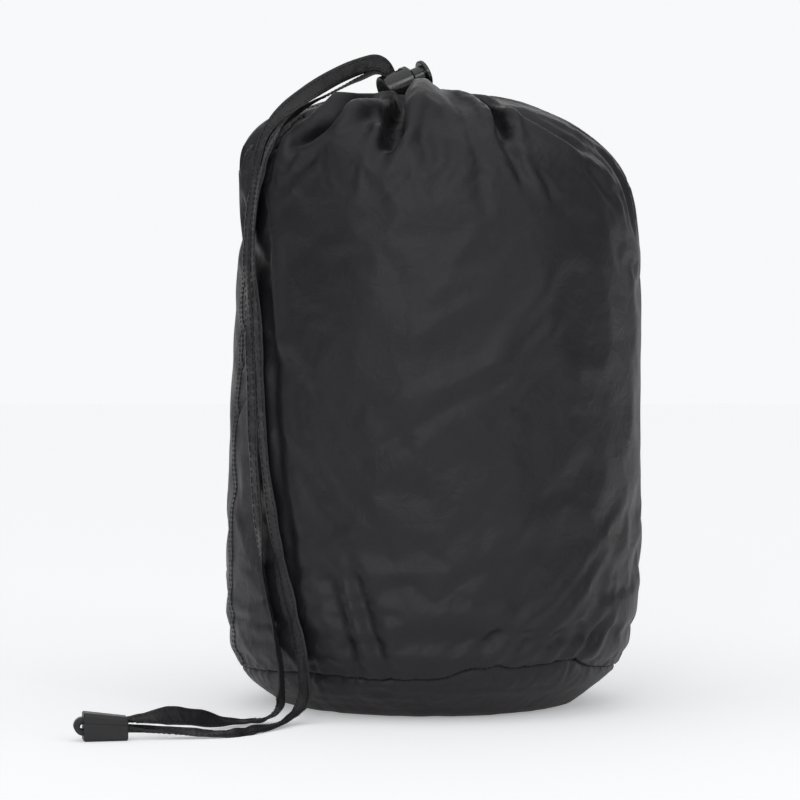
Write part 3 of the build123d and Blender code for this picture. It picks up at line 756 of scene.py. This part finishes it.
def drape(points, share, held, stuffing):
    """Cloth simulation of the whole skin over the stuffing, with its movement capped."""
    rows, columns = points.shape[:2]
    faces = grid_faces(rows, columns, True)[:, ::-1]
    cloth = mesh_object("cloth_form", points.reshape(-1, 3), faces, sack_cloth)
    group = cloth.vertex_groups.new(name="held")
    weights = held.reshape(-1)
    for level in np.unique(np.round(weights, 2)):
        if level > 0:
            group.add(np.nonzero(np.round(weights, 2) == level)[0].tolist(), float(level), "REPLACE")
    solver = cloth.modifiers.new("cloth", "CLOTH")
    settings = solver.settings
    settings.quality = 5
    settings.mass = 0.12
    settings.air_damping = 3
    settings.tension_stiffness = 18
    settings.compression_stiffness = 14
    settings.shear_stiffness = 6
    settings.bending_stiffness = 3.0
    settings.tension_damping = 8
    settings.compression_damping = 8
    settings.shear_damping = 8
    settings.vertex_group_mass = "held"
    settings.pin_stiffness = 1.0
    settings.effector_weights.gravity = 0.0
    calm = cloth.vertex_groups.new(name="calm")
    for low, high, level in ((0.0, 0.2, 1.0), (0.2, 0.3, 0.6), (0.3, 0.4, 0.3), (1.0, 2.1, 1.0)):
        chosen = np.nonzero((share.reshape(-1) >= low) & (share.reshape(-1) < high))[0]
        calm.add(chosen.tolist(), level, "REPLACE")
    settings.vertex_group_shrink = "calm"
    settings.shrink_min = -0.016
    settings.shrink_max = -0.004
    settings.use_pressure = True
    settings.uniform_pressure_force = -0.8
    solver.collision_settings.use_self_collision = False
    solver.collision_settings.distance_min = 0.001
    solver.collision_settings.collision_quality = 3
    press = stuffing.modifiers.new("press", "COLLISION")
    stuffing.collision.thickness_outer = 0.001
    stuffing.collision.cloth_friction = 8
    scene = bpy.context.scene
    solver.point_cache.frame_start = 1
    solver.point_cache.frame_end = 24
    for frame_number in range(1, 23):
        scene.frame_set(frame_number)
    settled = cloth.evaluated_get(bpy.context.evaluated_depsgraph_get())
    moved = vertex_places(settled.data).reshape(points.shape)
    bpy.data.objects.remove(cloth)
    stuffing.modifiers.remove(press)
    scene.frame_set(1)
    shift = moved - points
    normals = grid_normals(points)
    outward = (shift * normals).sum(-1)
    wrapped = np.concatenate([outward[:, -30:], outward, outward[:, :30]], axis=1)
    broad = smooth_along(smooth_along(wrapped, 9, 1), 9, 0)[:, 30:-30]
    shift -= normals * (broad * np.clip((share - 0.15) / 0.2, 0, 1))[..., None]
    shift *= np.interp(share, (0.3, 0.45), (1.0, 0.65))[..., None]
    size = np.linalg.norm(shift, axis=-1, keepdims=True)
    return points + shift * (CLOTH_MOVE * np.tanh(size / CLOTH_MOVE) / np.maximum(size, 1e-9))


def make_stuffing(columns, share, outline, relief):
    """What fills the sack: the same form a little smaller, lumpy as packed clothing is."""
    points = spun(outline, columns)
    normals = grid_normals(points)
    points = points + normals * (relief - 0.6 * MM)[..., None]
    angle = np.broadcast_to(columns, share.shape)
    drop = share * WALL_LENGTH
    lumps = (
        periodic_noise(angle, drop, 0.11, 1.0, 31) * 0.9
        + periodic_noise(angle, drop, 0.05, 0.8, 32) * 0.35
    )
    calm = np.clip(share / 0.35, 0, 1) * np.clip((1.25 - share) / 0.3, 0, 1)
    points = points - normals * (2.4 * MM - lumps * calm * MM)[..., None]
    points[..., 2] = np.maximum(points[..., 2], 1.2 * MM)
    points[:8, :, 2] -= np.linspace(4, 0.5, 8)[:, None] * MM
    faces = [face[::-1] for face in tube_faces(len(points), SKIN_COLUMNS)]
    return mesh_object("stuffing", points.reshape(-1, 3), faces, stuffing_cloth)


def tuck_inside(stuffing, points, normals, gap):
    """Keeps the stuffing that far inside the finished cloth."""
    mesh = stuffing.data
    places = vertex_places(mesh).reshape(points.shape)
    out = ((places - points) * normals).sum(-1)
    places -= normals * np.maximum(out + gap, 0)[..., None]
    places[..., 2] = np.maximum(places[..., 2], 1.2 * MM)
    mesh.vertices.foreach_set("co", places.ravel())
    mesh.update()


def press_under(points, normals, line, reach, gap):
    """Presses the cloth in where a tape lies on it, so that the tape rests on top."""
    flat = points.reshape(-1, 3)
    out = normals.reshape(-1, 3)
    low, high = line.min(0) - reach, line.max(0) + reach
    near = np.nonzero(((flat > low) & (flat < high)).all(1))[0]
    for index in near:
        away = flat[index] - line
        lift = away @ out[index]
        side = np.sqrt(np.maximum((away**2).sum(1) - lift**2, 0))
        wanted = gap + 0.35 * np.maximum(side - reach / 2, 0)
        over = np.where((side < reach) & (np.abs(lift) < 15 * MM), lift + wanted, -1).max()
        if over > 0:
            flat[index] -= out[index] * over
    return flat.reshape(points.shape)


# Highest the gathers reach in front of the lock, as (x, height) in millimetres.
rim_line = [
    (-70, 375), (-60, 356), (-43, 355), (-34, 356), (-29.5, 357), (-17, 358.5), (-11, 366), (0, 375),
]


def press_below_lock(points):
    """Keeps the cloth clear below the lock, also where the lock slides down the tapes."""
    barrel_low, barrel_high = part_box("lock_housing")
    axis = -np.array(joints["button_press"]["axis"], float)
    slide = joints["lock_slide"]
    lowest = np.array(slide["axis"], float) * slide["range_m"][0]
    middle = np.array((barrel_low + barrel_high) / 2) + lowest
    flat = unit(axis[:2])
    run = (points[..., :2] - middle[:2]) @ flat
    side = np.abs((points[..., :2] - middle[:2]) @ np.array([-flat[1], flat[0]]))
    height = middle[2] + run * axis[2] / math.hypot(axis[0], axis[1])
    reach = LOCK_RADIUS + 1.2 * MM
    round_under = height - np.sqrt(np.maximum(reach**2 - side**2, 0)) * 1.08
    ceiling = np.where(side < reach, round_under, height + (side - reach) * 2.2)
    ceiling += 1.6 * np.maximum(np.abs(run - 3 * MM) - 20 * MM, 0)
    rim = np.interp(points[..., 0] / MM, [x for x, _ in rim_line], [z for _, z in rim_line]) * MM
    rim += 0.5 * np.maximum(points[..., 1] + 6 * MM, 0)
    ceiling = np.minimum(ceiling, rim)
    points[..., 2] = np.where(points[..., 2] > 0.3, np.minimum(points[..., 2], ceiling), points[..., 2])
    return points


def back_gathers():
    """Gathers round the back of the mouth, where they are more even than at the front."""
    source = np.random.default_rng(23)
    lines = []
    middle = 2.0
    while middle < 166:
        lean = source.normal(0, 4)
        end = source.uniform(0.2, 0.36)
        line = [(middle, source.uniform(0.04, 0.08)), (middle + lean / 2, end * 0.6), (middle + lean, end)]
        lines.append((line, -source.uniform(2.5, 6.5), source.uniform(3.8, 5.0)))
        ridge = middle + source.uniform(5, 8)
        line = [(ridge, 0.06), (ridge + lean / 2, end * 0.7), (ridge + lean, end * 1.25)]
        lines.append((line, source.uniform(0.6, 2.4), source.uniform(4.0, 6.5)))
        middle += source.uniform(10, 17)
    return lines


def make_sack():
    columns, share, outline = skin_grid()
    points = spun(outline, columns)
    degrees = np.broadcast_to(np.degrees(columns), share.shape)
    radius = np.maximum(outline[..., 0], 6 * MM)
    normals = grid_normals(points)
    gathers = [fold for fold in folds if fold[0][0][1] < PIN_SHOULDER] + back_gathers()
    relief = fold_relief(gathers, degrees, share, radius)
    stuffing = make_stuffing(columns, share, outline, relief)
    drop = share * WALL_LENGTH
    relief += pucker_relief(degrees, drop, radius, 5, 60, (30, 120), (2.0, 4.4), (0.5, 1.6), 0.3)
    relief *= np.clip(share / 0.03, 0, 1)
    points = points + normals * relief[..., None]
    points[..., 2] = np.maximum(points[..., 2], 0.1 * MM)
    held = np.clip((PIN_MOUTH - share) / (PIN_MOUTH * 0.6), 0, 1) + np.clip((share - 1.12) / 0.1, 0, 1)
    held = np.maximum(held, 0.6 * np.clip((PIN_SHOULDER - share) / 0.12, 0, 1))
    held = np.clip(held + 0.5 * np.exp(-(((share - 1) / 0.03) ** 2)), 0, 1)
    points = drape(points, share, held, stuffing)
    points = refine(points, 2)
    share = refine(share[..., None], 2)[..., 0]
    angle = np.arange(2 * SKIN_COLUMNS) * math.pi / SKIN_COLUMNS
    degrees = np.broadcast_to(np.degrees(angle), share.shape)
    normals = grid_normals(points)
    radius = np.maximum(np.hypot(points[..., 0], points[..., 1]), 4 * MM)
    seam_row = 2 * (WALL_ROWS - 1)
    seam_share = share[seam_row][None, :]
    gap = np.abs(share - seam_share) * WALL_LENGTH * np.where(share > seam_share, 0.3, 1.0)
    relief = pucker_relief(degrees, gap, radius, 8, 130, (4, 18), (0.9, 2.2), (0.25, 0.75), 0.2)
    relief += pucker_relief(degrees, gap, radius, 18, 40, (20, 70), (1.8, 4.0), (0.2, 0.6), 0.4)
    relief += fold_relief([fold for fold in folds if fold not in gathers], degrees, share, radius)
    # The simulation softens the deepest gathers, so part of their depth is put back.
    deep = [fold for fold in gathers if abs(fold[1]) > 3.4]
    relief += 0.42 * fold_relief(deep, degrees, share, radius) * np.clip(share / 0.08, 0, 1)
    relief -= 0.8 * MM * np.exp(-((gap / (0.9 * MM)) ** 2))
    drop = share * WALL_LENGTH
    relief += pucker_relief(degrees, drop, radius, 6, 120, (12, 60), (0.7, 1.6), (0.3, 0.9), 0.2)
    relief += pucker_relief(degrees, drop, radius, 7, 90, (110, 200), (1.3, 2.8), (0.2, 0.55), 0.12)
    relief += periodic_noise(degrees * math.pi / 180, drop, 0.03, 1.0, 41) * 0.1 * MM
    points = points + normals * relief[..., None]
    points[..., 2] = np.maximum(points[..., 2], 0.1 * MM)
    points = press_below_lock(points)
    for route in (tail_a_route, tail_b_route):
        line = smooth_line("tape_line", route)
        line = line[(line[:, 2] > 0.03) & (line[:, 2] < 0.352)]
        points = press_under(points, normals, line, 7 * MM, 1.0 * MM)
    # Both sheets turn in at the base seam, which leaves a fine groove between them.
    dense = 2 * SKIN_COLUMNS
    uv = np.stack([degrees * math.pi / 180 * BELLY, share * WALL_LENGTH], axis=-1)
    normals = grid_normals(points)
    turned = np.stack(
        [points[seam_row] + normals[seam_row] * depth * MM for depth in (0.05, -0.7, -2.4)]
    )
    upper = np.concatenate([points[:seam_row], turned])
    wall = mesh_object(
        "sack_wall", upper.reshape(-1, 3), grid_faces(len(upper), dense, True)[:, ::-1],
        sack_cloth, uv[: len(upper)].reshape(-1, 2),
    )
    lower = points[seam_row:].copy()
    lower[0] -= normals[seam_row] * 2.2 * MM
    lower[1] -= normals[seam_row + 1] * 0.45 * MM
    base = mesh_object(
        "sack_base", lower.reshape(-1, 3), grid_faces(len(lower), dense, True)[:, ::-1],
        sack_cloth, uv[seam_row:].reshape(-1, 2),
    )
    tuck_inside(stuffing, points[::2, ::2], normals[::2, ::2], 2.2 * MM)
    for piece, stands_for, slot in (
        (wall, ["body_panel"], "sack_cloth"), (base, ["base_panel"], "sack_cloth"),
        (stuffing, ["packed_contents"], "contents"),
    ):
        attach(piece, "sack")
        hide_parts(*stands_for)
    return points, grid_normals(points), share, seam_row


skin, skin_normals, skin_share, seam_row = make_sack()


# --- Sewn details -----------------------------------------------------------------------------------
def skin_place(row, column):
    """Place and normal on the cloth at a fractional row and column of its grid."""
    row, column = np.broadcast_arrays(np.asarray(row, float), np.asarray(column, float))
    rows, columns = skin.shape[:2]
    r0 = np.clip(np.floor(row).astype(int), 0, rows - 2)
    c0 = np.floor(column).astype(int)
    fr, fc = (row - r0)[..., None], (column - c0)[..., None]

    def mix(grid):
        a, b = grid[r0, c0 % columns], grid[r0, (c0 + 1) % columns]
        c, d = grid[r0 + 1, c0 % columns], grid[r0 + 1, (c0 + 1) % columns]
        return (a * (1 - fc) + b * fc) * (1 - fr) + (c * (1 - fc) + d * fc) * fr

    return mix(skin), unit(mix(skin_normals))


def make_side_seam(azimuth, width, thickness):
    """The felled seam: a flat lap of cloth up the wall, with a row of stitches by each edge."""
    dense = skin.shape[1]
    rows = np.arange(10, seam_row - 1, 1.0)
    middle = azimuth / 360 * dense
    across = np.linspace(-1, 1, 9)
    lift = np.array([0.0, 0.8, 1.0, 0.96, 0.9, 0.96, 1.0, 0.8, 0.0])
    centre, _ = skin_place(rows, np.full(len(rows), middle))
    radius = np.maximum(np.hypot(centre[:, 0], centre[:, 1]), 12 * MM)
    half = width / 2 / (2 * math.pi * radius) * dense
    points, normals = skin_place(rows[:, None], middle + across[None, :] * half[:, None])
    body = points + normals * (lift * thickness - 0.1 * MM)[None, :, None]
    along = lengths_along(centre)
    uv = np.stack(np.broadcast_arrays(across[None, :] * width / 2, along[:, None]), axis=-1)
    faces = grid_faces(len(rows), len(across), False)[:, ::-1]
    strip = mesh_object("side_seam_lap", body.reshape(-1, 3), faces, sack_cloth, uv.reshape(-1, 2))
    places = np.interp(np.arange(8 * MM, along[-1], 2.8 * MM), along, rows)
    middles, directions, ups = [], [], []
    for share in (-0.7, 0.7):
        at = middle + share * np.interp(places, rows, half)
        spot, up = skin_place(places, at)
        ahead, _ = skin_place(places + 0.2, at)
        middles.append(spot + up * (thickness * 0.9))
        directions.append(ahead - spot)
        ups.append(up)
    stitch_rows = (np.concatenate(part) for part in (middles, directions, ups))
    stitches = stitch_mesh("side_seam_stitches", *stitch_rows, 2.0 * MM, 0.34 * MM, thread)
    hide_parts("side_seam")
    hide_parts("side_seam_stitching")
    return strip, stitches


def make_base_seam():
    """Stitches in the groove of the base seam, and the bound raw edges inside it."""
    dense = skin.shape[1]
    column = np.arange(dense, dtype=float)
    circle, _ = skin_place(np.full(dense, float(seam_row)), column)
    closed = np.concatenate([circle, circle[:1]])
    along = lengths_along(closed)
    places = np.interp(np.arange(0, along[-1], 2.7 * MM), along, np.arange(dense + 1))
    spot, up = skin_place(np.full(len(places), float(seam_row)), places)
    ahead, _ = skin_place(np.full(len(places), float(seam_row)), places + 0.2)
    stitches = stitch_mesh(
        "base_seam_stitches", spot + up * 0.1 * MM, ahead - spot, up, 1.9 * MM, 0.45 * MM, thread
    )
    # Section of the binding in millimetres: how far above the seam and how deep inside the cloth.
    drops = np.array([0.0, 1.4, 2.8, 4.2, 4.2, 2.8, 1.4, 0.0])
    depths = np.array([0.9, 1.2, 1.2, 0.9, 1.9, 2.2, 2.2, 1.9])
    row_spacing = 1.7
    rings = []
    for drop, depth in zip(drops, depths):
        spot, up = skin_place(np.full(dense, seam_row - drop / row_spacing), column)
        rings.append(spot - up * depth * MM)
    band = np.stack(rings, axis=0)
    band = np.concatenate([band, band[:1]])
    faces = grid_faces(len(band), dense, True)
    binding = mesh_object("base_seam_tape", band.reshape(-1, 3), faces, binding_cloth)
    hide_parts("base_seam_stitching")
    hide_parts("base_seam_binding")
    return stitches, binding


def make_casing():
    """The drawn-up hem round the mouth: a roll of cloth crowded into small pleats."""
    centre_height = (casing_low.z + casing_high.z) / 2
    around = np.linspace(0, 2 * math.pi, 360, endpoint=False)
    turn = np.linspace(0, 2 * math.pi, 28, endpoint=False)
    source = np.random.default_rng(14)
    pleats = sum(
        source.uniform(0.5, 1.0) * np.cos(k * around + source.uniform(0, 2 * math.pi))
        for k in (19, 23, 28, 34, 41)
    )
    pleats = pleats / 2.2
    roll, pleat_depth = 3.9 * MM, 0.75 * MM
    ring = MOUTH_RADIUS - 4.6 * MM
    tube = roll + pleat_depth * pleats[:, None] * (0.65 + 0.35 * np.sin(turn))[None, :]
    reach = ring + tube * np.cos(turn)[None, :]
    height = centre_height + tube * np.sin(turn)[None, :]
    points = np.stack([reach * np.cos(around)[:, None], reach * np.sin(around)[:, None], height], axis=-1)
    uv = np.stack(np.broadcast_arrays(around[:, None] * ring, turn[None, :] * roll), axis=-1)
    count = len(turn)
    faces = grid_faces(len(around) + 1, count, True) % (len(around) * count)
    casing = mesh_object("mouth_hem", points.reshape(-1, 3), faces, sack_cloth, uv.reshape(-1, 2))
    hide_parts("drawcord_casing")
    return casing


side_seam = make_side_seam(azimuth=196, width=8 * MM, thickness=0.55 * MM)
for piece, slot in zip(side_seam, ("sack_cloth", "thread")):
    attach(piece, "sack")
for piece, slot in zip(make_base_seam(), ("thread", "binding")):
    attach(piece, "sack")
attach(make_casing(), "sack")


# --- Small parts ------------------------------------------------------------------------------------
UP = np.array([0, 0, 1.0])
STRAP_THICK, STRAP_WIDE, STRAP_BEND = 3.1 * MM, 9 * MM, 3.5 * MM
STRAP_REACH = 5.8 * MM      # from the strap's outer face to where its ends sit in the shells


def make_round_strand(name, path, sizes, centre, closed, material):
    """An oval strand along a path, turned by where it lies from a centre; sizes are its half-axes."""
    if closed:
        tangents = unit(np.roll(path, -1, axis=0) - np.roll(path, 1, axis=0))
    else:
        tangents = unit(np.gradient(path, axis=0))
    outward = path - centre
    outward = unit(outward - tangents * (outward * tangents).sum(1, keepdims=True))
    sides = np.cross(tangents, outward)
    turn = np.linspace(0, 2 * math.pi, 14, endpoint=False)
    rings = path[:, None, :] + outward[:, None, :] * (sizes[0] * np.cos(turn))[None, :, None]
    rings = rings + sides[:, None, :] * (sizes[1] * np.sin(turn))[None, :, None]
    count, columns = len(path), len(turn)
    if closed:
        faces = grid_faces(count + 1, columns, True) % (count * columns)
    else:
        faces = tube_faces(count, columns)
    around = np.tile(turn / (2 * math.pi) * 12 * MM, count)
    uv = np.stack([np.repeat(lengths_along(path), columns), around], axis=1)
    return mesh_object(name, rings.reshape(-1, 3), faces, material, uv)


def make_knot(side):
    """The overhand knot that ties both tapes inside the cord end."""
    low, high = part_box("tape_knot")
    centre = np.array((low + high) / 2)
    along = np.cross(side, (0, 0, 1))
    turn = np.linspace(0, 2 * math.pi, 120, endpoint=False)
    trefoil = np.stack(
        [np.sin(turn) + 2 * np.sin(2 * turn), np.cos(turn) - 2 * np.cos(2 * turn), -np.sin(3 * turn)]
    )
    reach, width, height = trefoil * np.array([[1.0], [0.8], [2.2]]) * MM
    path = centre + reach[:, None] * along + width[:, None] * side + height[:, None] * UP
    return make_round_strand("cord_end_knot", path, (1.2 * MM, 1.65 * MM), centre, True, tape_cloth)


def make_hinge_strap(side):
    """The moulded band that joins the two shells at their far end, bent round in a U."""
    low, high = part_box("cord_end_hinge_strap")
    along = np.cross(side, (0, 0, 1))
    thick, wide, bend = STRAP_THICK, STRAP_WIDE, STRAP_BEND
    middle = np.array((low + high) / 2)
    corners = np.array([(x, y, 0) for x in (low.x, high.x) for y in (low.y, high.y)])
    end = ((corners - middle) @ along).max() - abs(side[0]) * wide - thick / 2
    bottom, top = low.z - middle[2] + thick / 2, high.z - middle[2] - thick / 2
    turn = np.linspace(-math.pi / 2, math.pi / 2, 17)
    rises = np.where(turn < 0, bottom + bend, top - bend) + bend * np.sin(turn)
    outs = end - bend + bend * np.cos(turn)
    start = end + thick / 2 - STRAP_REACH
    outs = np.concatenate([[start, (start + outs[0]) / 2], outs, [(start + outs[-1]) / 2, start]])
    rises = np.concatenate([[bottom, bottom], rises, [top, top]])
    path = middle + outs[:, None] * along + rises[:, None] * UP
    tangents = unit(np.gradient(path, axis=0))
    faces_out = np.cross(tangents, side)
    corner = np.array(
        [(-1, -0.5), (-0.93, -1), (0.93, -1), (1, -0.5), (1, 0.5), (0.93, 1), (-0.93, 1), (-1, 0.5)]
    )
    rings = path[:, None, :] + side * (corner[:, 0] * wide / 2)[None, :, None]
    rings = rings + faces_out[:, None, :] * (corner[:, 1] * thick / 2)[None, :, None]
    faces = tube_faces(len(path), len(corner))
    return mesh_object("cord_end_band", rings.reshape(-1, 3), faces, cord_end_plastic)


def make_spring(axis):
    """The coil spring behind the button, with closed end turns."""
    places = vertex_places(nodes["lock_spring"].data)
    along = places @ axis
    wire = 0.35 * MM
    centre = places.mean(0)
    centre = centre - axis * (centre @ axis)
    radius = np.linalg.norm(places - centre - along[:, None] * axis, axis=1).max() - wire
    turns = 7.0
    share = np.linspace(0, 1, 260)
    winding = turns * 2 * math.pi * share
    rise = np.interp(share, (0, 0.13, 0.87, 1.0), (0.0, 0.06, 0.94, 1.0))
    low, high = along.min() + wire, along.max() - wire
    first = unit(np.cross(axis, (0, 0, 1)))
    second = np.cross(axis, first)
    path = centre + (low + (high - low) * rise)[:, None] * axis
    spoke = np.cos(winding)[:, None] * first + np.sin(winding)[:, None] * second
    coil = path + spoke * radius
    spring = make_round_strand("button_spring", coil, (wire, wire), path, False, spring_steel)
    return spring, centre + low * axis, (high - low)


def make_mouth_threads():
    """The hem's row of stitches, and the bar tacks at both ends of its opening."""
    low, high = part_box("casing_stitching")
    radius, height = (high.x - low.x) / 2, (low.z + high.z) / 2
    turn = np.arange(0, 2 * math.pi, 2.4 * MM / radius)
    spokes = np.stack([np.cos(turn), np.sin(turn), 0 * turn], axis=1)
    ahead = np.stack([-np.sin(turn), np.cos(turn), 0 * turn], axis=1)
    places = spokes * radius + np.array([0, 0, height])
    row = stitch_mesh("hem_stitches", places, ahead, spokes, 1.8 * MM, 0.4 * MM, thread)
    low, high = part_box("casing_bartacks")
    middles, directions = [], []
    for edge in (low.y + 0.6 * MM, high.y - 0.6 * MM):
        for k in range(12):
            middles.append((low.x + (k + 0.5) / 12 * (high.x - low.x), edge, low.z + 0.3 * MM))
            directions.append((0.3 if k % 2 else -0.3, 1.0, 0.0))
    ups = np.tile((0.0, 0.0, 1.0), (len(middles), 1))
    tacks = stitch_mesh("hem_bar_tacks", middles, directions, ups, 1.3 * MM, 0.5 * MM, thread)
    return row, tacks


def make_inner_tape():
    """The tape inside the hem, crumpled into a round strand."""
    low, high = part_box("drawstring_loop")
    thick = (high.z - low.z) / 2
    radius = (high.x - low.x) / 2 - thick
    exit_angle = math.atan2(tail_a_route[0][1], tail_a_route[0][0])
    turn = exit_angle + np.linspace(0.35, 2 * math.pi - 0.35, 150)
    centre = np.array([0, 0, (low.z + high.z) / 2])
    shake = wander(len(turn), 4, 0.15 * MM)
    reach = radius + shake
    path = centre + np.stack([reach * np.cos(turn), reach * np.sin(turn), shake[::-1]], axis=1)
    return make_round_strand("hem_tape", path, (thick * 0.8, thick * 0.9), centre, False, tape_cloth)


hinge_side = np.array(joints["cord_end_opens"]["axis"], float)
strap = make_hinge_strap(hinge_side)
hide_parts("cord_end_hinge_strap")
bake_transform(strap)

knot = make_knot(hinge_side)
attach(knot, "sack")
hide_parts("tape_knot")
make_tails()

press_axis = np.array(joints["button_press"]["axis"], float)
spring, spring_foot, spring_length = make_spring(-press_axis)
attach(spring, "cord_lock")
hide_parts("lock_spring")
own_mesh(spring)

row, tacks = make_mouth_threads()
for piece, node, slot in (
    (row, "casing_stitching", "thread"), (tacks, "casing_bartacks", "thread"),
    (make_inner_tape(), "drawstring_loop", "tape"),
):
    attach(piece, "sack")
    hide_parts(node)


# The rigid plastic parts keep their CAD shape and get their material here.
for node, material in (
    ("lock_housing", lock_plastic),
    ("lock_plunger", lock_plastic),
    ("cord_end_lower_shell", cord_end_plastic),
    ("cord_end_upper_shell", cord_end_plastic),
):
    nodes[node].data.materials.clear()
    nodes[node].data.materials.append(material)
